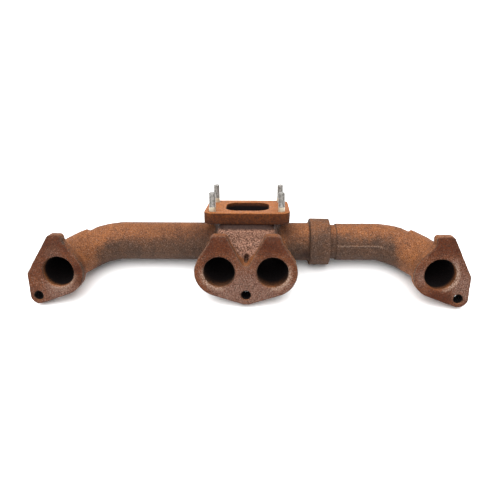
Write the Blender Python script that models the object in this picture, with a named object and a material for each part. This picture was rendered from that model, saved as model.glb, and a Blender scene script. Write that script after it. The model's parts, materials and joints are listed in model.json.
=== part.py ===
"""Two-piece exhaust manifold of a four-cylinder turbocharged diesel, lying on a table.

Everything is drawn in the engine's frame: X along the cylinder head, +Y away from the head, +Z up, with
the origin in the head face, midway between the two centre ports. One empty then leans the whole manifold
back into the attitude in which it lies on a table: on the lobes of its flanges and on its slip-joint collar.
"""
import math

import bmesh
import bpy
from mathutils import Matrix, Vector

MM = 0.001                      # one millimetre in metres
GAP = 0.3 * MM                  # air kept between pieces that touch
OVERRUN = 5 * MM                # how far a cutter runs past the face that it cuts

# Head side
PORT_X = (213 * MM, 30 * MM)    # outer flanges and centre ports, each side of the middle
PORT_OFFSET = {-1: Vector((1.3, 0, -0.8)) * MM, 1: Vector((2.2, 0, -0.9)) * MM}   # outer ports in their flanges
PORT_RADIUS = 17.5 * MM
HEAD_FLANGE = 13.5 * MM         # thickness of the flanges on the head
BOLT_HOLE_RADIUS = 5.5 * MM
END_HOLE = Vector((24.4, -29.4)) * MM      # from the port's centre, outwards and up
CENTRE_HOLE = Vector((0.0, -27.0)) * MM

# Log pipe and elbows
PIPE_Y = 70 * MM
PIPE_Z = 17 * MM
PIPE_RADIUS = 23 * MM
ROOT_RADIUS = 25.2 * MM         # where each elbow swells into its end flange
BORE_RADIUS = 17.5 * MM
# Outer radius of each arm round its bend, from the log to the end flange, in millimetres
LEFT_BEND_RADII = (23, 23.1, 23.3, 23.4, 23, 23.7, 23.8, 23.7, 23.5, 23.4)
RIGHT_BEND_RADII = (22.5, 23, 23.4, 23.8, 23.5, 24.9, 25, 24.6, 24, 23.6)

# Turbocharger side
TURBO_TOP = 61 * MM
TURBO_FLANGE = 12 * MM
TURBO_SIZE = Vector((100, 78)) * MM
INLET_SIZE = Vector((51.5, 49)) * MM
STUD_SPACING = Vector((80, 56)) * MM
STUD_RADIUS = 4 * MM
STUD_STAND = 22 * MM            # height of a stud above the flange

# Slip joint between the two castings
COLLAR_START = 73 * MM
COLLAR_END = 99.5 * MM
COLLAR_RADIUS = 28.5 * MM
SHOULDER = 107 * MM             # where the spigot meets the arm's full pipe
SPIGOT_TIP = 74.5 * MM
SPIGOT_RADIUS = 21 * MM
SPIGOT_BORE = 15.5 * MM
SOCKET_FLOOR = 68 * MM
SOCKET_RADIUS = SPIGOT_RADIUS + GAP
RING_WIDTH = 2.6 * MM
RING_DEPTH = 2.3 * MM           # radial thickness of a seal ring
RING_STARTS = (77.5 * MM, 82.5 * MM, 87.5 * MM)
RING_NAMES = ("seal_ring_inner", "seal_ring_middle", "seal_ring_outer")
RING_SPLIT = math.radians(5)    # the open gap of a split ring

# Outlines of the head flanges: corners with the radius that rounds each, in millimetres
LEFT_END_CORNERS = ((5.9, 41.8, 5), (-8.9, 41.8, 5.5), (-9.3, 33.8, 6), (-46.4, -14.6, 27), (33.3, -42.85, 9),
                    (34.3, -3, 1.5))
RIGHT_END_CORNERS = ((12.6, 41.8, 3.5), (-6.4, 41.8, 4), (-5.9, 32.2, 5), (-44.5, -13.5, 26), (35.6, -43.95, 10.5),
                     (35.9, -3.4, 1.5))
CENTRE_HALF_CORNERS = ((22, 41.6, 3), (38.2, 41.6, 5), (40.3, 33.6, 6), (75, -15.5, 28))
CENTRE_VALLEY = (0, 0.6, 5.8)
CENTRE_APEX = (0, -39.3, 14)


def material(name, colour, roughness, metallic):
    """A plain Principled material."""
    made = bpy.data.materials.new(name)
    made.use_nodes = True
    shader = made.node_tree.nodes["Principled BSDF"]
    shader.inputs["Base Color"].default_value = (*colour, 1)
    shader.inputs["Roughness"].default_value = roughness
    shader.inputs["Metallic"].default_value = metallic
    return made


def mesh_object(name, sections, finish=None):
    """A closed solid skinned over rings of points."""
    mesh = bpy.data.meshes.new(name)
    skin = bmesh.new()
    rings = [[skin.verts.new(point) for point in section] for section in sections]
    for ring, following in zip(rings, rings[1:]):
        for i in range(len(ring)):
            j = (i + 1) % len(ring)
            skin.faces.new((ring[i], ring[j], following[j], following[i]))
    skin.faces.new(rings[0])
    skin.faces.new(rings[-1])
    bmesh.ops.recalc_face_normals(skin, faces=skin.faces)
    skin.to_mesh(mesh)
    skin.free()
    mesh.shade_smooth()
    mesh.set_sharp_from_angle(angle=math.radians(35))
    made = bpy.data.objects.new(name, mesh)
    bpy.context.scene.collection.objects.link(made)
    if finish:
        mesh.materials.append(finish)
    return made


def combine(target, tool, operation):
    """Add a tool to the target, or cut it away, and keep the tool only as a hidden guide."""
    step = target.modifiers.new(tool.name, "BOOLEAN")
    step.operation = operation
    step.object = tool
    tool.hide_render = True
    tool.display_type = "WIRE"


def rounded_outline(corners, step=math.radians(15)):
    """Points round a polygon in metres, each corner (x, y, radius in mm) turned into an arc."""
    points = []
    for i, (x, y, radius) in enumerate(corners):
        corner = Vector((x, y)) * MM
        before = Vector(corners[i - 1][:2]) * MM - corner
        after = Vector(corners[(i + 1) % len(corners)][:2]) * MM - corner
        half = before.angle(after) / 2
        centre = corner + (before.normalized() + after.normalized()).normalized() * radius * MM / math.sin(half)
        first = corner + before.normalized() * radius * MM / math.tan(half) - centre
        turn = first.angle_signed(corner + after.normalized() * radius * MM / math.tan(half) - centre)
        count = max(2, math.ceil(abs(turn) / step))
        for k in range(count + 1):
            swing = Matrix.Rotation(-turn * k / count, 2)
            points.append(centre + swing @ first)
    return points


def rounded_rectangle(width, depth, radius):
    """Outline of a rectangle about the origin with rounded corners, sizes in metres."""
    x, y, r = width / 2 / MM, depth / 2 / MM, radius / MM
    return rounded_outline(((x, y, r), (-x, y, r), (-x, -y, r), (x, -y, r)), math.radians(18))


def along_y(outline, y, middle=(0, 0)):
    """Stand an outline up in the XZ plane at a distance y behind the head face."""
    return [Vector((middle[0] + p.x, y, middle[1] + p.y)) for p in outline]


def along_z(outline, z, middle=(0, PIPE_Y)):
    """Lay an outline down in the XY plane at height z."""
    return [Vector((middle[0] + p.x, middle[1] + p.y, z)) for p in outline]


def swept(name, route, radii, sides=20):
    """A round bar along a route, one radius for each of its points."""
    sections = []
    for i, point in enumerate(route):
        tangent = (route[min(i + 1, len(route) - 1)] - route[max(i - 1, 0)]).normalized()
        across = tangent.cross(Vector((0, 0, 1))).normalized()
        upright = across.cross(tangent)
        turns = [2 * math.pi * k / sides for k in range(sides)]
        sections.append([point + radii[i] * (math.cos(a) * across + math.sin(a) * upright) for a in turns])
    return mesh_object(name, sections)


def turned(name, profile, axis="X", middle=(0, PIPE_Y, PIPE_Z), sides=40, finish=None):
    """A solid of revolution: (distance along the axis, radius) pairs turned about an axis through middle."""
    sections = []
    for along, radius in profile:
        ring = []
        for k in range(sides):
            a = 2 * math.pi * k / sides
            offset = (along, radius * math.cos(a), radius * math.sin(a))
            if axis == "Z":
                offset = (radius * math.cos(a), radius * math.sin(a), along)
            ring.append(Vector(offset) + Vector(middle))
        sections.append(ring)
    return mesh_object(name, sections, finish=finish)


def move_origin(piece, origin):
    """Put an object's origin at a point without moving its mesh."""
    piece.data.transform(Matrix.Translation(-origin))
    piece.location = origin


def arm_route(side, start_x):
    """Middle line of an arm: straight along the log, then a bend forwards and down to the end flange."""
    bend = PIPE_Y - HEAD_FLANGE
    steps = len(LEFT_BEND_RADII) - 1
    route = [Vector((side * start_x, PIPE_Y, PIPE_Z))]
    for k in range(steps + 1):
        share = k / steps
        a = share * math.pi / 2
        x = PORT_X[0] - bend + bend * math.sin(a)
        y = HEAD_FLANGE + bend * math.cos(a)
        route.append(Vector((side * x, y, PIPE_Z * (1 - share))))
    return route


def arm_solid(name, side, start_x, bend_radii):
    """The outside of one arm, run a little way into its end flange."""
    route = arm_route(side, start_x)
    route.append(Vector((side * PORT_X[0], HEAD_FLANGE / 2, 0)))
    radii = [bend_radii[0], *bend_radii, bend_radii[-1]]
    return swept(name, route, [radius * MM for radius in radii])


def arm_root(name, side):
    """The short swelling where an elbow stands on its end flange."""
    route = [Vector((side * PORT_X[0], y * MM, 0)) for y in (7, 17, 23)]
    return swept(name, route, [ROOT_RADIUS, ROOT_RADIUS, ROOT_RADIUS - 1.4 * MM], sides=28)


def arm_bore(name, side, start_x):
    """The gas way through one arm, eased over to the port's own middle and run out through it."""
    route = arm_route(side, start_x)
    route[-1] += PORT_OFFSET[side] / 2
    port = Vector((side * PORT_X[0], 0, 0)) + PORT_OFFSET[side]
    route += [port + Vector((0, 4 * MM, 0)), port - Vector((0, OVERRUN, 0))]
    return swept(name, route, [BORE_RADIUS] * len(route))


def bolt_hole(name, x, z):
    """A drill right through a head flange."""
    ends = (-OVERRUN, HEAD_FLANGE + 4 * OVERRUN)
    return swept(name, [Vector((x, y, z)) for y in ends], [BOLT_HOLE_RADIUS] * 2, sides=20)


def end_flange(name, side, corners):
    """An end flange's plate; the outline is drawn outwards from its port, so side mirrors it."""
    outline = rounded_outline(corners)
    middle = (side * PORT_X[0], 0)
    mirrored = [Vector((side * p.x, p.y)) for p in outline]
    return mesh_object(name, [along_y(mirrored, y, middle) for y in (0, HEAD_FLANGE)])


def centre_flange():
    """The heart-shaped plate round the two centre ports."""
    right = list(CENTRE_HALF_CORNERS)
    left = [(-x, z, r) for x, z, r in reversed(right)]
    corners = [CENTRE_VALLEY] + right + [CENTRE_APEX] + left
    outline = rounded_outline(corners)
    return mesh_object("centre_flange_shape", [along_y(outline, y) for y in (0, HEAD_FLANGE)])


def hood():
    """The sloping front of the centre body, from the valley of the flange up to the turbocharger flange."""
    stations = ((9, 38, -12, 7), (14, 38, -12, 9), (31, 36, -10, 44), (46, 34, -6, 50))
    sections = []
    for y, half_width, low, high in stations:
        outline = rounded_rectangle(2 * half_width * MM, (high - low) * MM, 8 * MM)
        sections.append(along_y(outline, y * MM, (0, (high + low) / 2 * MM)))
    return mesh_object("hood_shape", sections)


def neck():
    """The upright body between the log and the turbocharger flange."""
    stations = ((8, 80, 44), (26, 76, 52), ((TURBO_TOP - TURBO_FLANGE / 2) / MM, 67, 62))
    sections = []
    for z, width, depth in stations:
        outline = rounded_rectangle(width * MM, depth * MM, 12 * MM)
        sections.append(along_z(outline, z * MM))
    return mesh_object("neck_shape", sections)


def plenum():
    """The chamber under the turbocharger inlet, where the gas ways meet."""
    stations = ((10, 34, 30, 12), (22, 44, 36, 14), (44, 50, 46, 16), (TURBO_TOP / MM, *(INLET_SIZE / MM), 16))
    sections = []
    for z, width, depth, radius in stations:
        outline = rounded_rectangle(width * MM, depth * MM, radius * MM)
        sections.append(along_z(outline, z * MM))
    top = rounded_rectangle(INLET_SIZE.x, INLET_SIZE.y, 16 * MM)
    sections.append(along_z(top, TURBO_TOP + OVERRUN))
    return mesh_object("plenum_space", sections)


def runner(name, side, radius, front):
    """A short runner from a centre port back and up into the body."""
    route = [Vector((side * PORT_X[1], front, 0)), Vector((side * PORT_X[1], HEAD_FLANGE, 0)),
             Vector((side * 27 * MM, 32 * MM, 4 * MM)), Vector((side * 20 * MM, 58 * MM, 15 * MM))]
    return swept(name, route, [radius] * len(route))


def main_casting(iron):
    """Centre body, left arm and the collar of the slip joint, cast in one."""
    casting = arm_solid("main_casting", -1, 20 * MM, LEFT_BEND_RADII)
    casting.data.materials.append(iron)
    log_end = [Vector((x, PIPE_Y, PIPE_Z)) for x in (-30 * MM, COLLAR_START + 2 * MM)]
    collar = ((COLLAR_START - 1 * MM, PIPE_RADIUS - 2 * MM), (COLLAR_START, PIPE_RADIUS - 0.2 * MM),
              (COLLAR_START + 3 * MM, COLLAR_RADIUS), (COLLAR_END - 1 * MM, COLLAR_RADIUS),
              (COLLAR_END, COLLAR_RADIUS - 1 * MM))
    plate = rounded_rectangle(*TURBO_SIZE, 12 * MM)
    plate_heights = (TURBO_TOP - TURBO_FLANGE, TURBO_TOP)
    added = [swept("log_end_shape", log_end, [PIPE_RADIUS] * 2, sides=24),
             turned("collar_shape", collar),
             arm_root("left_root_shape", -1),
             end_flange("left_flange_shape", -1, LEFT_END_CORNERS),
             neck(),
             hood(),
             centre_flange(),
             mesh_object("turbo_flange_shape", [along_z(plate, z) for z in plate_heights])]
    added += [runner(f"runner_shape_{side}", side, 24 * MM, HEAD_FLANGE / 2) for side in (-1, 1)]
    for shape in added:
        combine(casting, shape, "UNION")

    stub_bore = [Vector((x, PIPE_Y, PIPE_Z)) for x in (-30 * MM, SOCKET_FLOOR + 1 * MM)]
    socket = ((SOCKET_FLOOR, SOCKET_RADIUS), (COLLAR_END + OVERRUN, SOCKET_RADIUS))
    removed = [arm_bore("left_bore", -1, 10 * MM),
               swept("stub_bore", stub_bore, [BORE_RADIUS * 0.995] * 2, sides=20),
               turned("socket_bore", socket),
               plenum(),
               bolt_hole("left_bolt_hole", -PORT_X[0] - END_HOLE.x, END_HOLE.y),
               bolt_hole("centre_bolt_hole", *CENTRE_HOLE)]
    removed += [runner(f"runner_bore_{side}", side, PORT_RADIUS, -OVERRUN) for side in (-1, 1)]
    for name, middle in stud_places().items():
        drill = ((TURBO_TOP - TURBO_FLANGE - OVERRUN, STUD_RADIUS + GAP), (TURBO_TOP + OVERRUN, STUD_RADIUS + GAP))
        removed.append(turned(f"{name}_hole", drill, "Z", (*middle, 0), sides=16))
    for shape in removed:
        combine(casting, shape, "DIFFERENCE")
    return [casting] + added + removed


def right_arm(iron):
    """The second casting, with its turned spigot; its origin is on the slip joint's axis."""
    arm = arm_solid("right_arm", 1, SHOULDER, RIGHT_BEND_RADII)
    arm.data.materials.append(iron)
    groove_floor = SPIGOT_RADIUS - RING_DEPTH - 2 * GAP
    profile = [(SPIGOT_TIP, SPIGOT_RADIUS - 1 * MM), (SPIGOT_TIP + 1 * MM, SPIGOT_RADIUS)]
    for start in RING_STARTS:
        low, high = start - GAP, start + RING_WIDTH + GAP
        profile += [(low, SPIGOT_RADIUS), (low, groove_floor), (high, groove_floor), (high, SPIGOT_RADIUS)]
    profile += [(SHOULDER + 4 * MM, SPIGOT_RADIUS)]
    added = [turned("spigot_shape", profile),
             end_flange("right_flange_shape", 1, RIGHT_END_CORNERS),
             arm_root("right_root_shape", 1)]
    spigot_bore = ((SPIGOT_TIP - OVERRUN, SPIGOT_BORE), (SHOULDER + 6 * MM, SPIGOT_BORE),
                   (SHOULDER + 10 * MM, BORE_RADIUS - 0.5 * MM))
    removed = [turned("spigot_bore", spigot_bore, sides=24),
               arm_bore("right_bore", 1, SHOULDER + 8 * MM),
               bolt_hole("right_bolt_hole", PORT_X[0] + END_HOLE.x, END_HOLE.y)]
    for shape in added:
        combine(arm, shape, "UNION")
    for shape in removed:
        combine(arm, shape, "DIFFERENCE")
    return [arm] + added + removed


def seal_ring(name, start, steel):
    """A split ring of rectangular section that lies in a groove of the spigot."""
    outer = SPIGOT_RADIUS
    inner = SPIGOT_RADIUS - RING_DEPTH
    corners = ((start, inner), (start, outer), (start + RING_WIDTH, outer), (start + RING_WIDTH, inner))
    count = 36
    sections = []
    for k in range(count + 1):
        a = RING_SPLIT / 2 + (2 * math.pi - RING_SPLIT) * k / count
        sections.append([Vector((x, PIPE_Y + r * math.cos(a), PIPE_Z + r * math.sin(a))) for x, r in corners])
    return mesh_object(name, sections, finish=steel)


def stud_places():
    """The four studs' names and places on the turbocharger flange."""
    places = {}
    for row, sign_y in (("front", -1), ("rear", 1)):
        for side, sign_x in (("left", -1), ("right", 1)):
            middle = (sign_x * STUD_SPACING.x / 2, PIPE_Y + sign_y * STUD_SPACING.y / 2)
            places[f"turbo_stud_{row}_{side}"] = middle
    return places


def turbo_stud(name, middle, steel):
    """A stud screwed through the flange: thread below, plain collar at the face, thread and chamfer above."""
    low = TURBO_TOP - TURBO_FLANGE
    high = TURBO_TOP + STUD_STAND
    thread = STUD_RADIUS - 0.25 * MM
    profile = ((low, thread), (TURBO_TOP, thread), (TURBO_TOP, STUD_RADIUS), (TURBO_TOP + 5 * MM, STUD_RADIUS),
               (TURBO_TOP + 5 * MM, thread), (high - 1 * MM, thread), (high, thread - 1 * MM))
    return turned(name, profile, "Z", (*middle, 0), sides=16, finish=steel)


def lean_angle():
    """The lean at which the flanges' rear lower edge and the collar touch one level plane."""
    lobe_bottom = -39.2 * MM
    ahead = PIPE_Y - HEAD_FLANGE
    above = PIPE_Z - lobe_bottom
    return math.atan2(above, ahead) - math.asin(COLLAR_RADIUS / math.hypot(ahead, above))


def lay_on_table(pieces):
    """Lean every piece back about X, then bring the middle of the lowest plane to the world origin."""
    attitude = bpy.data.objects.new("table_attitude", None)
    bpy.context.scene.collection.objects.link(attitude)
    attitude.rotation_euler = (-lean_angle(), 0, 0)
    for piece in pieces:
        piece.parent = attitude
    bpy.context.view_layer.update()
    depsgraph = bpy.context.evaluated_depsgraph_get()
    points = []
    for piece in pieces:
        if not piece.hide_render:
            solid = piece.evaluated_get(depsgraph)
            points += [solid.matrix_world @ vertex.co for vertex in solid.data.vertices]
    low = Vector([min(p[i] for p in points) for i in range(3)])
    high = Vector([max(p[i] for p in points) for i in range(3)])
    attitude.location = (-(low.x + high.x) / 2, -(low.y + high.y) / 2, -low.z)


def main():
    for old in list(bpy.data.objects):
        bpy.data.objects.remove(old)
    iron = material("rusty_cast_iron", (0.30, 0.14, 0.07), 0.8, 0.2)
    steel = material("zinc_plated_steel", (0.72, 0.71, 0.68), 0.35, 0.9)
    ring_steel = material("ring_steel", (0.40, 0.36, 0.33), 0.4, 0.9)
    arm_shapes = right_arm(iron)
    rings = [seal_ring(name, start, ring_steel) for name, start in zip(RING_NAMES, RING_STARTS)]
    joint = Vector((COLLAR_END, PIPE_Y, PIPE_Z))
    for piece in arm_shapes + rings:
        move_origin(piece, joint)
    studs = [turbo_stud(name, middle, steel) for name, middle in stud_places().items()]
    lay_on_table(main_casting(iron) + arm_shapes + rings + studs)


main()
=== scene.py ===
"""Looks of the two-piece exhaust manifold: cast skins, rust, threaded studs, floor, light and camera.

Both castings are built as distance fields in the engine's frame, in millimetres: X along the cylinder
head, +Y away from it, +Z up, origin in the head face midway between the centre ports. A field is negative
inside the iron. Each field is skinned with a surface net, then laid where the CAD casting lies.
"""
import json
import math

import bpy
import numpy as np
from mathutils import Matrix, Vector


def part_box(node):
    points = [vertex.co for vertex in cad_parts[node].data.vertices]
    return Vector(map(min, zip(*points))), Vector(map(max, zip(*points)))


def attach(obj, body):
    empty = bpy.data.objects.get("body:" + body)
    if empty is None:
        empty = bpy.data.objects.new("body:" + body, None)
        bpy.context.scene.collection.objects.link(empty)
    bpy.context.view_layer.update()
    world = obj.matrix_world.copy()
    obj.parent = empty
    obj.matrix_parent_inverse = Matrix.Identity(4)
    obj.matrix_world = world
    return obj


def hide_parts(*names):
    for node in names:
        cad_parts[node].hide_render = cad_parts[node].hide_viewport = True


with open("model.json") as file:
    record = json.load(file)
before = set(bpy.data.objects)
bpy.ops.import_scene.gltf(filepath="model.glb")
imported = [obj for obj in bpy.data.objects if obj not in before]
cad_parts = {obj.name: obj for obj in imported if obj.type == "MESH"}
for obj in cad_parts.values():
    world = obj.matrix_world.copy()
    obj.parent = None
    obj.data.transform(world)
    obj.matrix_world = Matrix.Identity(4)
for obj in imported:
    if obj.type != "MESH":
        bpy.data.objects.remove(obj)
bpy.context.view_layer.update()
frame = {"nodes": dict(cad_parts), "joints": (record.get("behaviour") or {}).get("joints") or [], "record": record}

# Driving dimensions of the castings, in millimetres
PORT_X = 213.0                  # outer flanges, each side of the middle
LEFT_PORT = (-211.7, -0.8)      # the bored middles of the outer ports: x, z
RIGHT_PORT = (215.2, -0.9)
CENTRE_PORT_X = 30.0
BORE_RADIUS = 17.5
HEAD_FLANGE = 13.5
BOLT_HOLE_RADIUS = 5.3
BOSS_RADIUS = 7.0               # of the pad behind each bolt hole
END_BOSS = 18.5                 # back of an outer flange's pad
CENTRE_BOSS = 23.5
END_HOLE = (24.4, -29.4)        # from the port's middle, outwards and up
MAIN_HOLES = ((-PORT_X - END_HOLE[0], END_HOLE[1], END_BOSS), (0.0, -27.0, CENTRE_BOSS))
PIPE_Y = 70.0
PIPE_Z = 17.0
PIPE_RADIUS = 23.0
RIGHT_PIPE_RADIUS = 22.5
BEND = PIPE_Y - HEAD_FLANGE     # radius of each elbow's middle line
TURBO_TOP = 61.0
TURBO_FLANGE = 13.4             # thickness
STUD_DEPTH = 12.0               # how deep each stud sits in the turbocharger flange
TURBO_HALF = (50.0, 39.0)
TURBO_CORNER = 12.0
BODY_TOP = 53.0                 # the centre body ends here, inside the turbocharger flange
STUD_HALF_SPACING = (40.0, 28.0)
STUD_HOLE_RADIUS = 4.15
STUD_HOLE_FLOOR = 44.0
STUD_STAND = 22.0               # above the turbocharger flange
THREAD_PITCH = 1.25
THREAD_CREST = 3.98
THREAD_ROOT = 3.30
SHANK_RADIUS = 3.95             # of the plain length at the flange
COLLAR = (76.0, 99.5, 28.5)     # start, end, radius
LOG_END = 92.0                  # the pipe of the main casting ends here, inside the collar
SHOULDER = 107.0
SPIGOT_TIP = 74.5
SPIGOT_RADIUS = 21.0
SPIGOT_BORE = 15.5
SOCKET_FLOOR = 68.0
SOCKET_RADIUS = 21.3
GROOVE_MIDDLES = (78.8, 83.8, 88.8)
GROOVE_HALF_WIDTH = 1.6
GROOVE_FLOOR = 18.1
RIM_CHAMFER = 1.6
GASKET_RADIUS = 21.0            # of the mark that a gasket leaves round a port
FLANGE_FILLET = 7.0             # between a head flange and the pipe or body behind it

# Outlines of the head flanges: corners with the radius that rounds each
LEFT_END_CORNERS = ((5.9, 42.2, 5), (-8.9, 42.2, 5.5), (-9.3, 33.8, 6), (-46.4, -14.6, 27),
                    (33.3, -42.85, 9), (34.3, -3, 1.5))
RIGHT_END_CORNERS = ((12.6, 42.4, 3.5), (-6.4, 42.4, 4), (-5.9, 32.2, 5), (-44.5, -13.5, 26),
                     (35.6, -43.95, 10.5), (35.9, -3.4, 1.5))
CENTRE_HALF_CORNERS = ((22, 42.1, 3), (38.2, 42.1, 5), (40.3, 33.6, 6), (75, -15.5, 28))
CENTRE_VALLEY = (0, 0.6, 5.8)
CENTRE_APEX = (0, -39.3, 14)

VOXEL = 0.95
MOST_TRIANGLES = 195_000        # of one skinned casting


def attitude():
    """The matrix from the engine's frame in millimetres to the CAD model's frame in metres."""
    turn = next(joint for joint in frame["joints"] if joint["name"] == "slip_turn")
    face = next(mount for mount in frame["record"]["mounts"] if mount["name"] == "turbo_face")
    lean = math.atan2(face["axis"][1], face["axis"][2])
    rotate = Matrix.Rotation(-lean, 4, "X") @ Matrix.Scale(0.001, 4)
    joint_here = rotate @ Vector((COLLAR[1], PIPE_Y, PIPE_Z))
    return Matrix.Translation(Vector(turn["pos_m"]) - joint_here) @ rotate


ATTITUDE = attitude()


# ---------------------------------------------------------------- distance fields

def smoothstep(low, high, value):
    share = np.clip((value - low) / (high - low), 0, 1)
    return share * share * (3 - 2 * share)


def join(a, b, fillet):
    """Union of two fields with a fillet in the corner between them."""
    blend = np.clip(0.5 + 0.5 * (b - a) / fillet, 0, 1)
    return b + (a - b) * blend - fillet * blend * (1 - blend)


def cut(a, b, rounding=0.6):
    """Field a with b taken away, the new edge slightly rounded."""
    return -join(-a, b, rounding)


def keep(a, b, rounding=0.5):
    """The part of a that is also in b."""
    return -join(-a, -b, rounding)


def round_corners(corners, step=math.radians(7)):
    """Points round a polygon with each corner (x, y, radius) turned into an arc."""
    points = []
    for i, (x, y, radius) in enumerate(corners):
        corner = Vector((x, y))
        before = (Vector(corners[i - 1][:2]) - corner).normalized()
        after = (Vector(corners[(i + 1) % len(corners)][:2]) - corner).normalized()
        half = before.angle(after) / 2
        centre = corner + (before + after).normalized() * radius / math.sin(half)
        first = corner + before * radius / math.tan(half) - centre
        last = corner + after * radius / math.tan(half) - centre
        turn = first.angle_signed(last)
        count = max(2, math.ceil(abs(turn) / step))
        points += [centre + Matrix.Rotation(-turn * k / count, 2) @ first for k in range(count + 1)]
    return np.array(points)


class Outline:
    """Signed distance to a closed outline, worked out once on a fine table and then looked up."""
    PITCH = 0.5
    MARGIN = 30.0

    def __init__(self, points):
        self.low = points.min(0) - self.MARGIN
        count = np.ceil((points.max(0) + self.MARGIN - self.low) / self.PITCH).astype(int) + 1
        a = self.low[0] + self.PITCH * np.arange(count[0])[:, None]
        b = self.low[1] + self.PITCH * np.arange(count[1])[None, :]
        nearest = np.full((count[0], count[1]), np.inf)
        inside = np.zeros((count[0], count[1]), bool)
        for start, end in zip(points, np.roll(points, -1, axis=0)):
            edge = end - start
            from_a, from_b = a - start[0], b - start[1]
            share = np.clip((from_a * edge[0] + from_b * edge[1]) / (edge @ edge), 0, 1)
            nearest = np.minimum(nearest, (from_a - edge[0] * share) ** 2 + (from_b - edge[1] * share) ** 2)
            crosses = (start[1] > b) != (end[1] > b)
            inside ^= crosses & (from_a < edge[0] * from_b / (edge[1] or 1e-9))
        self.table = np.sqrt(nearest) * np.where(inside, -1, 1)

    def __call__(self, a, b):
        places = []
        for value, low, size in zip((a, b), self.low, self.table.shape):
            place = np.clip((value - low) / self.PITCH, 0, size - 1.001)
            whole = place.astype(int)
            places.append((whole, place - whole))
        (i, s), (j, t) = places
        left = self.table[i, j] * (1 - t) + self.table[i, j + 1] * t
        right = self.table[i + 1, j] * (1 - t) + self.table[i + 1, j + 1] * t
        return left * (1 - s) + right * s


def slab(flat, along, low, high, rounding=0.9):
    """A plate: a flat outline's distance carried from low to high along its normal."""
    side = flat + rounding
    face = np.abs(along - (low + high) / 2) - (high - low) / 2 + rounding
    outside = np.hypot(np.maximum(side, 0), np.maximum(face, 0))
    return outside + np.minimum(np.maximum(side, face), 0) - rounding


def rounded_box(x, y, half_x, half_y, radius):
    """Flat distance to a rectangle with rounded corners about the origin."""
    a = np.abs(x) - half_x + radius
    b = np.abs(y) - half_y + radius
    return np.hypot(np.maximum(a, 0), np.maximum(b, 0)) + np.minimum(np.maximum(a, b), 0) - radius


def bar(x, y, z, route):
    """Distance to a round bar along a route of (x, y, z, radius) points."""
    best = None
    for start, end in zip(route, route[1:]):
        edge = [e - s for s, e in zip(start, end)]
        length = sum(e * e for e in edge[:3])
        gap = (x - start[0], y - start[1], z - start[2])
        share = np.clip(sum(g * e for g, e in zip(gap, edge)) / length, 0, 1)
        away = np.sqrt(sum((g - e * share) ** 2 for g, e in zip(gap, edge)))
        field = away - (start[3] + edge[3] * share)
        best = field if best is None else join(best, field, 3)
    return best


def arm_axis(x, y, z, side):
    """How far a point is from an arm's middle line, how far round the bend it is from 0 to 1, and its place
    round the pipe: radial is outwards in the bend's plane, rise is up."""
    along = side * x - (PORT_X - BEND)
    ahead = y - HEAD_FLANGE
    share = np.arctan2(np.maximum(along, 0), np.maximum(ahead, 1e-6)) / (math.pi / 2)
    radial = np.hypot(np.maximum(along, 0), np.maximum(ahead, 0)) - BEND
    ease = share - 0.3 * np.sin(2 * math.pi * share) / (2 * math.pi)
    rise = z - PIPE_Z * (1 - ease)
    return np.hypot(radial, rise), share, radial, rise


def arm_outside(x, y, z, side):
    """The skin of an arm: a pipe that fattens into the bend, and a cast pad on the elbow's upper back that
    starts from a crease."""
    away, share, radial, rise = arm_axis(x, y, z, side)
    if side < 0:
        growth = np.interp(share, (0, 0.25, 0.38, 0.5, 0.75, 1), (0, 0.2, 0.5, 0.6, 0.4, 0))
        radius = PIPE_RADIUS + growth
        pad_height, sag = 1.0, 1.5
    else:
        growth = np.interp(share, (0, 0.12, 0.38, 0.5, 0.75, 1), (0, 0.6, 1.6, 1.5, 1.3, 0.9))
        radius = RIGHT_PIPE_RADIUS + growth
        pad_height, sag = 1.6, 1.3
    underside = smoothstep(-0.2, -0.9, rise / np.maximum(away, 1))
    radius = radius + 0.7 * np.exp(-((share - 0.45) / 0.16) ** 2) * underside
    back = np.arctan2(radial, rise)
    upper = smoothstep(-1.0, -0.3, back) * (1 - smoothstep(1.7, 2.2, back))
    crease = smoothstep(0.30, 0.405, share) * (1 - smoothstep(0.41, 0.45, share)) * upper
    edge = 0.28 - 3.0 * (share - 0.42)
    pad = smoothstep(0.405, 0.435, share) * (1 - smoothstep(0.60, 0.95, share))
    pad = pad * smoothstep(edge - 0.10, edge + 0.06, back) * (1 - smoothstep(1.7, 2.2, back))
    return away - radius + sag * crease - pad_height * pad


def parting_line(x, y, z):
    """The thin flash along the front of the sliding arm, from 0 to 1."""
    _, share, radial, rise = arm_axis(x, y, z, 1)
    front = (radial < 0) * (x > SHOULDER + 1) * (1 - smoothstep(0.02, 0.25, share))
    return np.exp(-((rise - 0.6) / 0.7) ** 2) * front


def port_rim(y):
    """How much wider a port is at its chamfered mouth."""
    return np.clip(RIM_CHAMFER - y, 0, 3)


left_flange = Outline(round_corners([(-x, z, r) for x, z, r in reversed(LEFT_END_CORNERS)]) - (PORT_X, 0))
right_flange = Outline(round_corners(RIGHT_END_CORNERS) + (PORT_X, 0))
centre_flange = Outline(round_corners([CENTRE_VALLEY, *CENTRE_HALF_CORNERS, CENTRE_APEX]
                                      + [(-x, z, r) for x, z, r in reversed(CENTRE_HALF_CORNERS)]))


def head_flange(flat, y):
    """A head flange: crisp round its machined face, well rounded at the back."""
    crisp, rounded = (slab(flat, y, 0, HEAD_FLANGE, rounding) for rounding in (0.7, 3.0))
    return np.where(y < HEAD_FLANGE / 2, crisp, rounded)


def end_port(x, y, z, side, port):
    """The gas way of an outer port: its bore eases over from the port's middle to the arm's."""
    shift = 1 - smoothstep(0, 34, y)
    away, _, _, _ = arm_axis(x - (port[0] - side * PORT_X) * shift, y, z - port[1] * shift, side)
    return away


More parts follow.
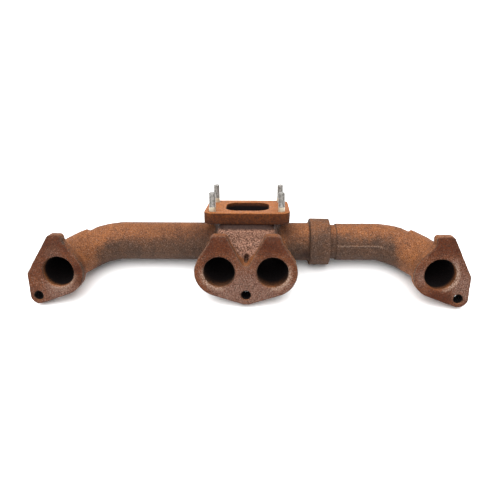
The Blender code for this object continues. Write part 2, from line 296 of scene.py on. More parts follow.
def hood(x, y, z):
    """The sloping front of the centre body, from the valley of the flange up to the turbocharger flange,
    under which it draws back a little."""
    front = -0.915 * (y - 12.5) + 0.404 * (z - 8) + 3.0 * smoothstep(38, 49, z)
    sides = np.abs(x) - (40.5 - 0.12 * np.maximum(z, 0) - 0.10 * (z > 20) * (z - 20))
    field = keep(front, sides, 9)
    field = keep(field, -12 - z, 5)
    field = keep(field, z - BODY_TOP, 1)
    return keep(field, y - 66, 2)


def neck(x, y, z):
    """The upright body between the log and the turbocharger flange."""
    rise = np.clip((z - 8) / 47, 0, 1)
    field = rounded_box(x, y - PIPE_Y, 40.5 - 7 * rise, 22 + 9 * rise, 12)
    return keep(keep(field, z - BODY_TOP, 1), -2 - z, 6)


def plenum(x, y, z):
    """The chamber under the turbocharger inlet, where the gas ways meet."""
    rise = np.clip((z - 10) / 45, 0, 1)
    field = rounded_box(x, y - PIPE_Y, 17 + 8.75 * rise, 15 + 9.5 * rise, 14 + 2 * rise)
    return keep(field, 10 - z, 6)


def centre_runner(x, y, z, start_radius, end_radius, start_y):
    """The two short runners from the centre ports back and up into the body."""
    route = ((CENTRE_PORT_X, start_y, 0, start_radius), (CENTRE_PORT_X, HEAD_FLANGE, 0, start_radius),
             (27, 32, 4, start_radius), (20, 58, 15, end_radius))
    return bar(np.abs(x), y, z, route)


def main_gas(x, y, z):
    """Every gas way of the main casting, from the three ports to the turbocharger inlet."""
    rim = port_rim(y) * (x < -100)
    gas = keep(end_port(x, y, z, -1, LEFT_PORT) - BORE_RADIUS - rim, x - SOCKET_FLOOR, 1)
    gas = join(gas, centre_runner(x, y, z, BORE_RADIUS, 16, -40), 3)
    return join(gas, plenum(x, y, z), 4)


def arm_gas(x, y, z):
    """The gas way of the sliding arm, narrower inside the spigot."""
    narrow = (BORE_RADIUS - SPIGOT_BORE) * (1 - smoothstep(SHOULDER + 4, SHOULDER + 12, x))
    return end_port(x, y, z, 1, RIGHT_PORT) - BORE_RADIUS + narrow - port_rim(y)


def bolt_pad(x, y, z, back):
    """A cast pad behind a bolt hole about the given axis, out to its back face."""
    return slab(np.hypot(x, z) - BOSS_RADIUS, y, 4, back, 1)


def bolt_hole(x, y, z, back):
    """A hole about the given axis through a flange and its pad, a little wider at the machined face."""
    return keep(np.hypot(x, z) - BOLT_HOLE_RADIUS - 0.3 * port_rim(y), y - back - 2)


def main_field(x, y, z):
    """Centre body, left arm and the collar of the slip joint."""
    around = np.hypot(y - PIPE_Y, z - PIPE_Z)
    log = keep(arm_outside(x, y, z, -1), x - LOG_END, 1)
    collar = slab(around - COLLAR[2], x, COLLAR[0] - 1, COLLAR[1], 1.6)
    field = join(log, collar, 4)
    field = join(field, head_flange(left_flange(x, z), y), FLANGE_FILLET)
    for hole_x, hole_z, back in MAIN_HOLES:
        field = join(field, bolt_pad(x - hole_x, y, z - hole_z, back), 3)
    body = join(centre_runner(x, y, z, 24, 22, 6), hood(x, y, z), 7)
    body = join(body, neck(x, y, z), 7)
    field = join(field, body, 7)
    field = join(field, head_flange(centre_flange(x, z), y), 3.5)
    plate = rounded_box(x, y - PIPE_Y, *TURBO_HALF, TURBO_CORNER)
    field = join(field, slab(plate, z, TURBO_TOP - TURBO_FLANGE, TURBO_TOP, 1.2), 1)
    field = keep(keep(field, -y), z - TURBO_TOP)
    field = keep(field, x - COLLAR[1])

    # Gas ways, socket and holes
    field = cut(field, main_gas(x, y, z))
    rims = np.hypot(np.abs(x) - CENTRE_PORT_X, z) - BORE_RADIUS - port_rim(y)
    field = cut(field, keep(rims, y - 4))
    field = cut(field, keep(around - SOCKET_RADIUS, SOCKET_FLOOR - x, 0.3))
    for hole_x, hole_z, back in MAIN_HOLES:
        field = cut(field, bolt_hole(x - hole_x, y, z - hole_z, back))
    studs = np.hypot(np.abs(x) - STUD_HALF_SPACING[0], np.abs(y - PIPE_Y) - STUD_HALF_SPACING[1])
    field = cut(field, keep(studs - STUD_HOLE_RADIUS, STUD_HOLE_FLOOR - z))

    # The cast pocket in the valley of the centre flange
    across, deep, tall = (x - 0.2 - 0.15 * (z - 12)) / 2.2, (y - 15.5) / 5.0, (z - 11.5) / 4.8
    pocket = 3 * np.sqrt(across ** 2 + deep ** 2 + tall ** 2) - 3
    return cut(field, pocket, 1.5)


def arm_field(x, y, z):
    """The sliding arm: end flange, elbow, pipe and the turned spigot."""
    around = np.hypot(y - PIPE_Y, z - PIPE_Z)
    field = keep(arm_outside(x, y, z, 1) - 0.35 * parting_line(x, y, z), SHOULDER - x, 1.2)
    field = join(field, head_flange(right_flange(x, z), y), FLANGE_FILLET)
    from_hole = (x - PORT_X - END_HOLE[0], y, z - END_HOLE[1])
    field = join(field, bolt_pad(*from_hole, END_BOSS), 3)
    field = keep(field, -y)
    spigot = slab(around - SPIGOT_RADIUS, x, SPIGOT_TIP, SHOULDER + 8, 0.8)
    field = join(field, spigot, 0.8)
    for middle in GROOVE_MIDDLES:
        field = cut(field, np.maximum(np.abs(x - middle) - GROOVE_HALF_WIDTH, GROOVE_FLOOR - around), 0.2)

    field = cut(field, arm_gas(x, y, z))
    return cut(field, bolt_hole(*from_hole, END_BOSS))


# ---------------------------------------------------------------- from field to mesh

def skin(field, low, high, voxel):
    """A surface net over a field: vertices in millimetres and quads, all facing out."""
    axes = [np.arange(a - voxel, b + 2 * voxel, voxel) for a, b in zip(low, high)]
    values = field(axes[0][:, None, None], axes[1][None, :, None], axes[2][None, None, :]).astype(np.float32)
    size = values.shape
    solid = values < 0

    # Each lattice edge through the surface makes a quad and pulls on the vertices of the four cells round it
    total = np.zeros((int(np.prod(size)), 3), np.float32)
    count = np.zeros(int(np.prod(size)), np.int16)
    strides = (size[1] * size[2], size[2], 1)
    quads = []
    for axis in range(3):
        first = [slice(None)] * 3
        second = [slice(None)] * 3
        first[axis] = slice(None, -1)
        second[axis] = slice(1, None)
        first, second = tuple(first), tuple(second)
        edges = np.argwhere(solid[first] != solid[second])
        edges = edges[(edges[:, (axis + 1) % 3] > 0) & (edges[:, (axis + 2) % 3] > 0)]
        near = values[first][tuple(edges.T)]
        far = values[second][tuple(edges.T)]
        point = edges.astype(np.float32)
        point[:, axis] += near / (near - far)
        cell = edges @ np.array(strides)
        u, v = strides[(axis + 1) % 3], strides[(axis + 2) % 3]
        ring = np.stack([cell - u - v, cell - v, cell, cell - u], axis=1)
        quads.append(np.where((near < 0)[:, None], ring, ring[:, ::-1]))
        for corner in ring.T:
            np.add.at(total, corner, point)
            np.add.at(count, corner, 1)

    # A cell's vertex is the mean of the crossings on its edges
    used = np.flatnonzero(count)
    order = np.full(len(count), -1, np.int64)
    order[used] = np.arange(len(used))
    places = total[used] / count[used, None] * voxel + np.array([a[0] for a in axes], np.float32)
    return places.astype(float), order[np.concatenate(quads)]


def slope(field, places, step=0.25):
    """Gradient of a field at points."""
    parts = []
    for axis in range(3):
        ahead, behind = places.copy(), places.copy()
        ahead[:, axis] += step
        behind[:, axis] -= step
        parts.append((field(*ahead.T) - field(*behind.T)) / (2 * step))
    return np.stack(parts, axis=1)


def settle(field, places, rounds=2):
    """Move points onto the field's surface."""
    for _ in range(rounds):
        gradient = slope(field, places)
        steep = np.maximum((gradient ** 2).sum(1), 0.2)
        shift = -(field(*places.T) / steep)[:, None] * gradient
        reach = np.linalg.norm(shift, axis=1, keepdims=True)
        places = places + shift * np.minimum(1, 0.6 * VOXEL / np.maximum(reach, 1e-9))
    return places


NOISE = np.random.default_rng(11).random((32, 32, 32))


def grain(places, scale, shift=0.0):
    """Smooth noise from 0 to 1 with lumps of about the given size."""
    spot = places / scale + shift
    whole = np.floor(spot).astype(int)
    part = spot - whole
    part = part * part * (3 - 2 * part)
    value = 0
    for corner in range(8):
        step = np.array([(corner >> axis) & 1 for axis in range(3)])
        weight = np.prod(np.where(step, part, 1 - part), axis=1)
        i, j, k = ((whole + step) % 32).T
        value = value + weight * NOISE[i, j, k]
    return value


def placed(name, data):
    """A new object in the scene for a mesh, a light or a camera."""
    made = bpy.data.objects.new(name, data)
    bpy.context.scene.collection.objects.link(made)
    return made


def mesh_from(name, places, faces):
    """A smooth-shaded object from arrays, in the engine's frame."""
    mesh = bpy.data.meshes.new(name)
    mesh.from_pydata(places.tolist(), [], faces.tolist())
    mesh.validate()
    mesh.shade_smooth()
    return placed(name, mesh)


def coordinates(mesh):
    flat = np.empty(len(mesh.vertices) * 3, np.float32)
    mesh.vertices.foreach_get("co", flat)
    return flat.reshape(-1, 3).astype(float)


def thin_out(made):
    """Collapse the flattest triangles until the mesh is within its limit."""
    triangles = sum(len(face.vertices) - 2 for face in made.data.polygons)
    if triangles <= MOST_TRIANGLES:
        return
    step = made.modifiers.new("thin", "DECIMATE")
    step.ratio = MOST_TRIANGLES / triangles
    depsgraph = bpy.context.evaluated_depsgraph_get()
    thinner = bpy.data.meshes.new_from_object(made.evaluated_get(depsgraph))
    made.modifiers.clear()
    made.data = thinner


def paint(mesh, name, values):
    """Store one number per vertex for the materials to read."""
    attribute = mesh.attributes.new(name, "FLOAT", "POINT")
    attribute.data.foreach_set("value", np.clip(values, 0, 1).astype(np.float32))


def rust_and_top_light(places, normal, clean, rusted):
    """How orange the rust is: most where the iron faces up as it lies, less where clean. The steep fall towards
    the underside also paints in shade, as if lit from above.
    """
    up = np.array(ATTITUDE.to_3x3().inverted() @ Vector((0, 0, 1)))
    facing = normal @ (up / np.linalg.norm(up))
    mottle = 0.35 * (grain(places, 24, 5.0) - 0.5) + 0.25 * (grain(places, 5, 2.0) - 0.5)
    orange_and_top_light = np.clip(1.1 * (facing + mottle) - 0.05, 0, 1)
    # The power 2.2 is painted shade: the colour darkens quickly towards the underside
    return orange_and_top_light ** 2.2 * (1 - clean) + rusted


def cast_skin(name, field, low, high, zones):
    """Skin a casting's field, roughen its cast surfaces and paint its zones for the rust material."""
    places, quads = skin(field, low, high, VOXEL)
    made = mesh_from(name, settle(field, places), quads)
    thin_out(made)
    places = settle(field, coordinates(made.data), 1)
    normal = slope(field, places)
    normal /= np.maximum(np.linalg.norm(normal, axis=1, keepdims=True), 1e-6)
    paints = zones(places, normal)

    # Cast lumps of about 2, 5 and 17 mm, with pebbles instead of the widest ones where it is lumpy
    lumpy = paints["lumpy"]
    relief = 0.55 * (grain(places, 2.2) - 0.5) + 0.5 * (grain(places, 5.5, 7.3) - 0.5)
    relief += 0.8 * (grain(places, 17, 3.1) - 0.5) * (1 - lumpy)
    pebbles = 2.2 * (grain(places, 2.3, 9.1) - 0.5) * lumpy
    lift = (1 - paints["machined"]) * (0.55 * relief + pebbles) - 0.35 * paints["scratch"]
    places = places + normal * lift[:, None]
    made.data.vertices.foreach_set("co", places.astype(np.float32).ravel())

    paints["orange_and_top_light"] = rust_and_top_light(places, normal, paints.pop("clean"), paints.pop("rusted"))
    for zone, values in paints.items():
        paint(made.data, zone, values)
    made.data.transform(ATTITUDE)
    made.data.update()
    return made


def patches(x, y, z, spots):
    """How much of a point lies in soft round spots of (x, y, z, radius)."""
    total = 0
    for a, b, c, radius in spots:
        total = total + np.exp(-((x - a) ** 2 + (y - b) ** 2 + (z - c) ** 2) / radius ** 2)
    return np.clip(total, 0, 1)


def port_highlight_and_ring(x, y, z, port, heading, strength):
    """The chamfer of a port with a painted highlight, brightest towards one heading in degrees where the light
    falls, and its gasket's specked ring.
    """
    around = np.hypot(x - port[0], z - port[1])
    turn = math.radians(heading)
    side = ((x - port[0]) * math.cos(turn) + (z - port[1]) * math.sin(turn)) / np.maximum(around, 1)
    chamfer = smoothstep(GASKET_RADIUS, 19.6, around) * smoothstep(2.6, 1.2, y) * (around < GASKET_RADIUS + 1)
    ring = np.exp(-((around - GASKET_RADIUS) / 0.6) ** 2) * (y < 1)
    return strength * smoothstep(0.2, 0.9, side) * np.clip(chamfer + 0.5 * ring, 0, 1)


def bolt_hole_shade(x, y, z):
    """Painted shade: the dark wall of a bolt hole about the given axis."""
    return (np.hypot(x, z) < BOLT_HOLE_RADIUS + 0.9) * smoothstep(0.8, 2.0, y)


def edge_highlight(outline, y, z):
    """A painted highlight along the rounded outer edge of a head face, along its upper part."""
    return 0.25 * np.exp(-((outline + 0.4) / 0.6) ** 2) * (y < 1.6) * smoothstep(-16, 0, z)


def elbow_rust(x, y, z, side):
    """How far along an elbow towards its flange a point is, where the rust turns orange all round."""
    return smoothstep(0.15, 0.7, arm_axis(x, y, z, side)[1]) * (y > 1.6)


def main_zones(places, normal):
    """The zones of the main casting, each from 0 to 1 at every vertex."""
    x, y, z = places.T
    left = x < -100
    around = np.hypot(y - PIPE_Y, z - PIPE_Z)
    outline = np.where(left, left_flange(x, z), centre_flange(x, z))
    plate_bottom = TURBO_TOP - TURBO_FLANGE

    # Machined faces
    head = smoothstep(1.6, 0.5, y) * smoothstep(0.5, 0.8, -normal[:, 1])
    deck = smoothstep(TURBO_TOP - 1.4, TURBO_TOP - 0.4, z) * smoothstep(0.5, 0.8, normal[:, 2])
    socket = ((around < SOCKET_RADIUS + 0.6) & (x > SOCKET_FLOOR - 1)) * 1.0

    # The turbocharger flange and the pebbled front below it
    plate = smoothstep(plate_bottom - 0.5, plate_bottom + 0.5, z)
    front = smoothstep(0.0, 0.4, -normal[:, 1]) * smoothstep(43, 38, np.abs(x)) * smoothstep(13.6, 15.0, y)
    lumpy = front * smoothstep(47, 42, y) * smoothstep(-16, -4, z) * (1 - plate)

    # Sooty gas ways; painted shade in the bolt holes, the valley pocket, beside the neck, in the hood's upper
    # corners and in a band under the turbocharger flange; a dark patch on the log by the collar
    inside = smoothstep(1.3, 0.3, main_gas(x, y, z)) * smoothstep(0.8, 4, TURBO_TOP - z)
    inside = inside * smoothstep(1.5, np.where(left, 10, 22), y)
    for hole_x, hole_z, _ in MAIN_HOLES:
        inside = np.maximum(inside, bolt_hole_shade(x - hole_x, y, z - hole_z))
    painted_shade_and_spots = patches(x, y, z, ((0, 17, 12, 4), (69, 50, 6, 7), (-50, 50, 36, 11), (50, 50, 36, 10),
                             (-41, 34, 43, 8), (41, 34, 43, 8)))
    # Painted shadow: a dark band along the top of the pebbled front, under the turbocharger flange
    painted_shade_and_spots = np.maximum(painted_shade_and_spots, front * smoothstep(40.5, 43.5, z) * (z < plate_bottom + 0.4))

    # Painted highlights on the port chamfers and upper face edges, with the gaskets' rings; painted glare in pale
    # patches on the head faces; a gouge on the front of the left pipe
    highlights_and_ring = np.maximum.reduce([port_highlight_and_ring(x, y, z, LEFT_PORT, -70, 0.5),
                               port_highlight_and_ring(x, y, z, (-CENTRE_PORT_X, 0), -130, 0.8),
                               port_highlight_and_ring(x, y, z, (CENTRE_PORT_X, 0), -35, 0.9),
                               edge_highlight(outline, y, z)])
    pale = patches(x, y, z, ((-214, 0, -27, 17), (-196, 0, -20, 13), (0, 0, -16, 22), (-24, 0, -30, 17),
                             (24, 0, -30, 17), (-215, 0, 24, 8), (52, 0, -20, 9)))
    height = PIPE_RADIUS * np.arcsin(np.clip((z - PIPE_Z) / np.maximum(around, 1), -1, 1))
    gouge = bar(x, height, 0 * z, ((-65.5, 14.0, 0, 0), (-65.2, 10.5, 0, 0), (-67.0, 8.0, 0, 0),
                                   (-73.5, 7.0, 0, 0)))
    scratch = smoothstep(0.9, 0.2, gouge) * (y < PIPE_Y) * (np.abs(x + 69) < 8)

    # Darker ears and side of the left face, and how orange the cast walls are
    dull = np.maximum(0.9 * smoothstep(12, 30, z) * (y < 2), 0.5 * patches(x, y, z, ((-234, 0, 8, 10),)))
    dull = np.maximum(dull, patches(x, y, z, ((-186, 2, 4, 13), (-188, 2, -10, 9))))
    clean = 0.45 * smoothstep(COLLAR[0] - 3, COLLAR[0], x) + 0.12 * smoothstep(-150, -110, x) * (x < -50)
    walls = smoothstep(1.0, 2.5, y) * smoothstep(HEAD_FLANGE + 1.5, HEAD_FLANGE - 1, y)
    walls = walls * (outline > -1.6) * (x < COLLAR[0]) * (x > -100)
    return {"machined": np.maximum.reduce([head, deck, socket]), "deck": deck, "plate": plate * (1 - deck),
            "lumpy": lumpy, "inside": inside, "highlights_and_ring": highlights_and_ring, "pale": pale * head, "painted_shade_and_spots": painted_shade_and_spots,
            "scratch": scratch, "dull": dull * (1 - lumpy), "clean": clean,
            "rusted": 0.9 * walls + 0.8 * elbow_rust(x, y, z, -1)}


def arm_zones(places, normal):
    """The zones of the sliding arm, each from 0 to 1 at every vertex."""
    x, y, z = places.T
    nothing = 0 * x
    head = smoothstep(1.6, 0.5, y) * smoothstep(0.5, 0.8, -normal[:, 1])
    turned = smoothstep(COLLAR[1] + 0.5, COLLAR[1], x)
    # Soot in the gas way and painted shade in the bolt hole
    inside = smoothstep(1.3, 0.3, arm_gas(x, y, z)) * smoothstep(1.5, 11, y)
    inside = np.maximum(inside, bolt_hole_shade(x - PORT_X - END_HOLE[0], y, z - END_HOLE[1]))
    # Small dark spots on the elbow near the flange
    painted_shade_and_spots = patches(x, y, z, ((201, 26, 12, 2.5), (188, 34, 3, 2.5), (196, 14, -4, 2.0)))
    # Painted highlights along the flash ridge and the upper edge of the face
    flash = parting_line(x, y, z) * smoothstep(0, 1.5, arm_gas(x, y, z))
    flash = np.maximum(flash, edge_highlight(right_flange(x, z), y, z))
    highlights_and_ring = np.maximum(port_highlight_and_ring(x, y, z, RIGHT_PORT, -15, 0.8), 0.6 * flash)
    # Painted glare in pale patches on the head face
    pale = patches(x, y, z, ((240, 0, -10, 14), (240, 0, -24, 9), (229, 0, 12, 7), (196, 0, -4, 8)))
    dull = np.maximum(0.75 * smoothstep(14, 30, z) * (y < 2),
                      patches(x, y, z, ((210, 0, -27, 12), (224, 0, -31, 9))))
    return {"machined": np.maximum(head, turned), "deck": nothing, "plate": nothing, "lumpy": nothing,
            "inside": inside, "highlights_and_ring": highlights_and_ring, "pale": pale * head, "painted_shade_and_spots": painted_shade_and_spots, "scratch": nothing,
            "dull": dull, "clean": nothing, "rusted": 0.9 * elbow_rust(x, y, z, 1)}


def thread_stud(name, node):
    """An M8 stud with a rolled helical thread, a plain shank at the flange and a chamfered tip."""
    low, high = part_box(node)
    bottom, top = TURBO_TOP - STUD_DEPTH, TURBO_TOP + STUD_STAND
    shank = (TURBO_TOP - 0.5, TURBO_TOP + 4.5)
    turns = 40
    steps = 8
    heights = np.arange(bottom, top + 1e-6, THREAD_PITCH / steps)
    heights[-1] = top
    angle = 2 * math.pi * np.arange(turns) / turns
    z, a = np.meshgrid(heights, angle, indexing="ij")
    phase = (z / THREAD_PITCH - a / (2 * math.pi)) % 1
    groove = np.abs(2 * phase - 1)
    thread = THREAD_ROOT + (THREAD_CREST - THREAD_ROOT) * smoothstep(0.1, 0.9, groove)
    plain = smoothstep(shank[0] - 1, shank[0], z) * (1 - smoothstep(shank[1], shank[1] + 1, z))
    radius = thread * (1 - plain) + SHANK_RADIUS * plain
    # Chamfers at both ends
    radius = np.minimum(radius, 3.0 + (top - z))
    radius = np.minimum(radius, 3.2 + (z - bottom))
    middle = ATTITUDE.inverted() @ ((low + high) / 2)
    places = np.stack([middle.x + radius * np.cos(a), middle.y + radius * np.sin(a), z], axis=-1)
    places = places.reshape(-1, 3)
    rows = len(heights)
    faces = []
    for row in range(rows - 1):
        for k in range(turns):
            n = (k + 1) % turns
            faces.append((row * turns + k, row * turns + n, (row + 1) * turns + n, (row + 1) * turns + k))
    faces += [tuple(range(turns))[::-1], tuple((rows - 1) * turns + k for k in range(turns))]
    mesh = bpy.data.meshes.new(name)
    mesh.from_pydata(places.tolist(), [], faces)
    mesh.shade_smooth()
    mesh.set_sharp_from_angle(angle=math.radians(50))
    paint(mesh, "groove", (smoothstep(0.75, 0.25, groove) * (1 - plain)).ravel())
    paint(mesh, "plain", plain.ravel())
    mesh.transform(ATTITUDE)
    return placed(name, mesh)


# ---------------------------------------------------------------- materials

class Nodes:
    """Short calls for building a material's node tree."""

    def __init__(self, name):
        self.material = bpy.data.materials.new(name)
        self.material.use_nodes = True
        self.tree = self.material.node_tree
        self.shader = self.tree.nodes["Principled BSDF"]
        self.place = self.add("ShaderNodeTexCoord").outputs["Object"]

    def add(self, kind, **values):
        made = self.tree.nodes.new(kind)
        for key, value in values.items():
            setattr(made, key, value)
        return made

    def set(self, socket, value):
        if isinstance(value, bpy.types.NodeSocket):
            self.tree.links.new(value, socket)
        elif value is not None:
            socket.default_value = value

    def noise(self, size_mm, detail=4.0, roughness=0.6, distortion=0.0):
        made = self.add("ShaderNodeTexNoise")
        self.set(made.inputs["Vector"], self.place)
        made.inputs["Scale"].default_value = 1000 / size_mm
        made.inputs["Detail"].default_value = detail
        made.inputs["Roughness"].default_value = roughness
        made.inputs["Distortion"].default_value = distortion
        return made.outputs["Fac"]

    def spots(self, size_mm):
        made = self.add("ShaderNodeTexVoronoi")
        self.set(made.inputs["Vector"], self.place)
        made.inputs["Scale"].default_value = 1000 / size_mm
        return made.outputs["Distance"]

    def stored(self, name):
        return self.add("ShaderNodeAttribute", attribute_name=name).outputs["Fac"]

    def ramp(self, value, low, high, to_low=0.0, to_high=1.0):
        made = self.add("ShaderNodeMapRange", interpolation_type="SMOOTHSTEP")
        self.set(made.inputs["Value"], value)
        for name, number in (("From Min", low), ("From Max", high), ("To Min", to_low), ("To Max", to_high)):
            made.inputs[name].default_value = number
        return made.outputs["Result"]

    def maths(self, operation, a, b):
        made = self.add("ShaderNodeMath", operation=operation)
        self.set(made.inputs[0], a)
        self.set(made.inputs[1], b)
        return made.outputs["Value"]

    def mix(self, share, a, b, blend="MIX"):
        made = self.add("ShaderNodeMix", data_type="RGBA", blend_type=blend)
        self.set(made.inputs["Factor"], share)
        self.set(made.inputs["A"], (*a, 1) if isinstance(a, tuple) else a)
        self.set(made.inputs["B"], (*b, 1) if isinstance(b, tuple) else b)
        return made.outputs["Result"]

    def bump(self, height, distance_mm, strength=1.0, below=None):
        made = self.add("ShaderNodeBump")
        made.inputs["Distance"].default_value = distance_mm / 1000
        made.inputs["Strength"].default_value = strength
        self.set(made.inputs["Height"], height)
        if below is not None:
            self.set(made.inputs["Normal"], below)
        return made.outputs["Normal"]


def rusty_iron(name):
    """Rust on sand-cast iron: orange on top and grey-brown scale below, also painting in light from above; dark
    machined faces with painted glare; painted glints and highlights; an orange turbocharger face; sooty bores;
    painted shade in the bolt holes, pocket and corners."""
    n = Nodes(name)
    fine = n.noise(1.2, detail=5, roughness=0.7)
    speck = n.noise(0.9, detail=2)
    blotch = n.noise(13, detail=5, distortion=0.6)
    streak = n.noise(5, detail=4, distortion=1.2)
    wide = n.noise(45, detail=3)

    # Orange rust where the iron faces up, grey-brown scale below; the split also paints in top light and shade
    # underneath
    orange = n.mix(n.ramp(blotch, 0.35, 0.65), (0.268, 0.096, 0.032), (0.188, 0.067, 0.025))
    scale = n.mix(n.ramp(blotch, 0.35, 0.7), (0.088, 0.043, 0.024), (0.056, 0.031, 0.020))
    cover = n.maths("ADD", n.maths("MULTIPLY", n.stored("orange_and_top_light"), 0.95), n.ramp(wide, 0.3, 0.7, -0.10, 0.10))
    cover = n.maths("ADD", cover, n.ramp(streak, 0.35, 0.65, -0.07, 0.07))
    colour = n.mix(n.ramp(cover, 0.1, 0.95), scale, orange)
    # The pebbled front: dark pebbles with painted pale glints
    pebbles_and_glints = n.mix(n.ramp(n.noise(1.5, detail=4), 0.41, 0.60), (0.085, 0.035, 0.020), (0.400, 0.200, 0.132))
    colour = n.mix(n.maths("MULTIPLY", n.stored("lumpy"), 0.9), colour, pebbles_and_glints)
    plate = n.mix(n.ramp(streak, 0.35, 0.65), (0.060, 0.013, 0.001), (0.120, 0.030, 0.004))
    colour = n.mix(n.stored("plate"), colour, plate)
    face = n.mix(n.ramp(blotch, 0.3, 0.7), (0.090, 0.022, 0.006), (0.140, 0.042, 0.014))
    # Painted glare: pale pinkish-grey patches on the head faces
    pink = n.mix(n.ramp(fine, 0.40, 0.62), (0.120, 0.056, 0.039), (0.240, 0.140, 0.106))
    patchy = n.maths("MULTIPLY", n.stored("pale"), n.ramp(streak, 0.25, 0.6, 0.5, 0.9))
    face = n.mix(patchy, face, pink)
    colour = n.mix(n.stored("machined"), colour, face)
    deck = n.mix(n.ramp(streak, 0.3, 0.7), (0.344, 0.108, 0.025), (0.426, 0.150, 0.042))
    colour = n.mix(n.stored("deck"), colour, deck)
    # Painted glints: pale specks on the rough cast, fewer on smooth and dull places
    glint_colour = n.mix(n.stored("orange_and_top_light"), (0.246, 0.164, 0.127), (0.426, 0.238, 0.156))
    colour = n.mix(n.maths("MULTIPLY", n.stored("dull"), 0.9), colour, (0.56, 0.38, 0.20), "MULTIPLY")
    smooth = n.maths("MAXIMUM", n.stored("dull"), n.stored("plate"))
    smooth = n.maths("MAXIMUM", smooth, n.stored("deck"))
    rough_cast = n.ramp(n.maths("MAXIMUM", n.stored("lumpy"), n.stored("machined")), 0, 1, 0.55, 0.60)
    painted_glints = n.maths("MULTIPLY", rough_cast, n.maths("SUBTRACT", 1.0, n.maths("MULTIPLY", smooth, 0.85)))
    painted_glints = n.maths("MULTIPLY", n.ramp(fine, 0.52, 0.64), painted_glints)
    colour = n.mix(painted_glints, colour, glint_colour)
    colour = n.mix(n.ramp(speck, 0.39, 0.52, 0.85, 0), colour, (0.021, 0.009, 0.005))
    # Painted highlights on the port chamfers, face edges and flash, with the gaskets' rings
    highlight_and_ring_mask = n.maths("MULTIPLY", n.stored("highlights_and_ring"), n.ramp(fine, 0.42, 0.60, 0.1, 1.0))
    colour = n.mix(highlight_and_ring_mask, colour, (0.400, 0.280, 0.210))
    colour = n.mix(n.stored("scratch"), colour, (0.213, 0.139, 0.066))
    # Painted shade in the pocket, by the neck, in the hood's corners and under the turbocharger flange, and dark
    # spots
    colour = n.mix(n.maths("MULTIPLY", n.stored("painted_shade_and_spots"), 0.95), colour, (0.021, 0.008, 0.005))
    # Soot in the gas ways and painted shade in the bolt holes
    colour = n.mix(n.stored("inside"), colour, (0.005, 0.003, 0.003))
    n.set(n.shader.inputs["Base Color"], n.mix(1.0, colour, (0.87, 0.87, 0.87), "MULTIPLY"))
    gloss = n.maths("MULTIPLY", n.stored("lumpy"), 0.22)
    rough = n.maths("SUBTRACT", n.ramp(fine, 0.3, 0.7, 0.80, 0.50), gloss)
    n.set(n.shader.inputs["Roughness"], n.maths("MAXIMUM", rough, n.stored("inside")))
    n.shader.inputs["Metallic"].default_value = 0.0
    n.shader.inputs["Specular IOR Level"].default_value = 0.12
    lumps = n.bump(n.noise(2.8, detail=3), 0.7, 0.8)
    pits = n.bump(n.spots(1.4), 0.3, 0.6, lumps)
    n.set(n.shader.inputs["Normal"], n.bump(fine, 0.5, 0.8, pits))
    return n.material


def zinc_steel(name):
    """Bright zinc-plated studs with dull grey threads, painted shade in the thread roots, a painted warm
    reflection on the plain shank and a little rust dust.
    """
    n = Nodes(name)
    patchy = n.noise(2.0, detail=4)
    dust = n.noise(1.2, detail=3)
    colour = n.mix(n.ramp(patchy, 0.35, 0.65), (0.54, 0.52, 0.49), (0.23, 0.22, 0.20))
    # Painted warm reflection of the rusty flange on the plain shank
    colour = n.mix(n.stored("plain"), colour, (0.56, 0.50, 0.38))
    # Painted shade in the thread roots
    colour = n.mix(n.maths("MULTIPLY", n.stored("groove"), 0.85), colour, (0.060, 0.050, 0.042))
    colour = n.mix(n.ramp(dust, 0.62, 0.78, 0, 0.6), colour, (0.30, 0.19, 0.12))
    n.set(n.shader.inputs["Base Color"], colour)
    n.set(n.shader.inputs["Roughness"], n.ramp(patchy, 0.3, 0.7, 0.28, 0.5))
    n.shader.inputs["Metallic"].default_value = 0.7
    n.set(n.shader.inputs["Normal"], n.bump(dust, 0.05, 0.5))
    return n.material


def ring_steel(name):
    """Heat-stained spring steel with turning marks."""
    n = Nodes(name)
    stain = n.noise(6, detail=4)
    colour = n.mix(n.ramp(stain, 0.35, 0.65), (0.36, 0.30, 0.26), (0.20, 0.15, 0.13))
    n.set(n.shader.inputs["Base Color"], colour)
    n.set(n.shader.inputs["Roughness"], n.ramp(stain, 0.3, 0.7, 0.35, 0.6))
    n.shader.inputs["Metallic"].default_value = 0.9
    n.set(n.shader.inputs["Normal"], n.bump(n.noise(0.4, detail=2), 0.03, 0.6))
    return n.material


def pale_floor(name):
    """A plain near-white floor with a trace of unevenness in its tone."""
    n = Nodes(name)
    tint = n.noise(300, detail=2)
    colour = n.mix(n.ramp(tint, 0.3, 0.7), (0.95, 0.95, 0.95), (0.93, 0.93, 0.93))
    n.set(n.shader.inputs["Base Color"], colour)
    n.shader.inputs["Roughness"].default_value = 0.7
    n.shader.inputs["Specular IOR Level"].default_value = 0.2
    return n.material


# ---------------------------------------------------------------- stage, light and camera

def stage():
    """A wide pale floor under the manifold."""
    half = 6.0
    mesh = bpy.data.meshes.new("floor")
    corners = [(-half, -half, 0), (half, -half, 0), (half, half, 0), (-half, half, 0)]
    mesh.from_pydata(corners, [], [(0, 1, 2, 3)])
    mesh.materials.append(pale_floor("floor_white"))
    placed("floor", mesh)


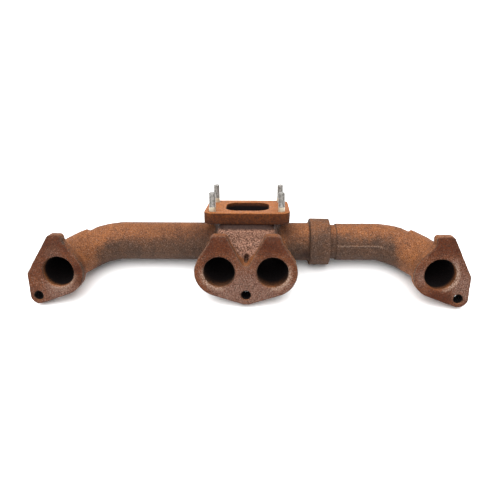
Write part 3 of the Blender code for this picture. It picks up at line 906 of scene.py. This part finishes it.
def light():
    """A very wide soft sun nearly overhead and a dim white surround."""
    world = bpy.data.worlds.new("surround")
    world.use_nodes = True
    world.node_tree.nodes["Background"].inputs["Color"].default_value = (1, 1, 1, 1)
    world.node_tree.nodes["Background"].inputs["Strength"].default_value = 0.75
    bpy.context.scene.world = world
    data = bpy.data.lights.new("softbox", "SUN")
    data.energy = 5.3
    data.angle = math.radians(90)
    lamp = placed("softbox", data)
    lamp.rotation_euler = Vector((0.10, 0.10, -1)).to_track_quat("-Z", "Y").to_euler()


def camera():
    """The view from the engine's side: 17 degrees above the head faces' own level."""
    focal, pitch, yaw, roll = 478.0, math.radians(17.0), math.radians(-1.63), math.radians(-0.10)
    forward = Vector((math.sin(yaw) * math.cos(pitch), math.cos(yaw) * math.cos(pitch), -math.sin(pitch)))
    right = Vector((math.cos(yaw), -math.sin(yaw), 0))
    up = right.cross(forward)
    tilted_right = right * math.cos(roll) + up * math.sin(roll)
    tilted_up = tilted_right.cross(forward)
    turn = Matrix((tilted_right, tilted_up, -forward)).transposed()
    data = bpy.data.cameras.new("camera")
    data.sensor_width = 36
    data.lens = 36 * focal / 500
    data.clip_end = 50
    eye = Vector((19, -501, 180))
    lean = ATTITUDE.to_3x3().normalized()
    made = placed("camera", data)
    made.matrix_world = Matrix.Translation(ATTITUDE @ eye) @ (lean @ turn).to_4x4()
    bpy.context.scene.camera = made


# ---------------------------------------------------------------- the manifold

bpy.context.scene.view_settings.view_transform = "Standard"
stage()
light()
camera()

casting = cast_skin("main_casting_skin", main_field, (-249, 0, -45), (100, 110, 62), main_zones)
casting.data.materials.append(rusty_iron("main_rust"))
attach(casting, "manifold_body")
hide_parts("main_casting")

arm = cast_skin("right_arm_skin", arm_field, (73, 0, -46), (251, 95, 43), arm_zones)
arm.data.materials.append(rusty_iron("arm_rust"))
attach(arm, "sliding_arm")
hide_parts("right_arm")

stud_steel = zinc_steel("zinc_steel")
for row in ("front", "rear"):
    for side in ("left", "right"):
        node = f"turbo_stud_{row}_{side}"
        stud = thread_stud(f"{node}_threaded", node)
        stud.data.materials.append(stud_steel)
        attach(stud, "manifold_body")
        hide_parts(node)

rings = ring_steel("stained_ring_steel")
for place in ("inner", "middle", "outer"):
    ring = frame["nodes"][f"seal_ring_{place}"]
    ring.data.materials.clear()
    ring.data.materials.append(rings)
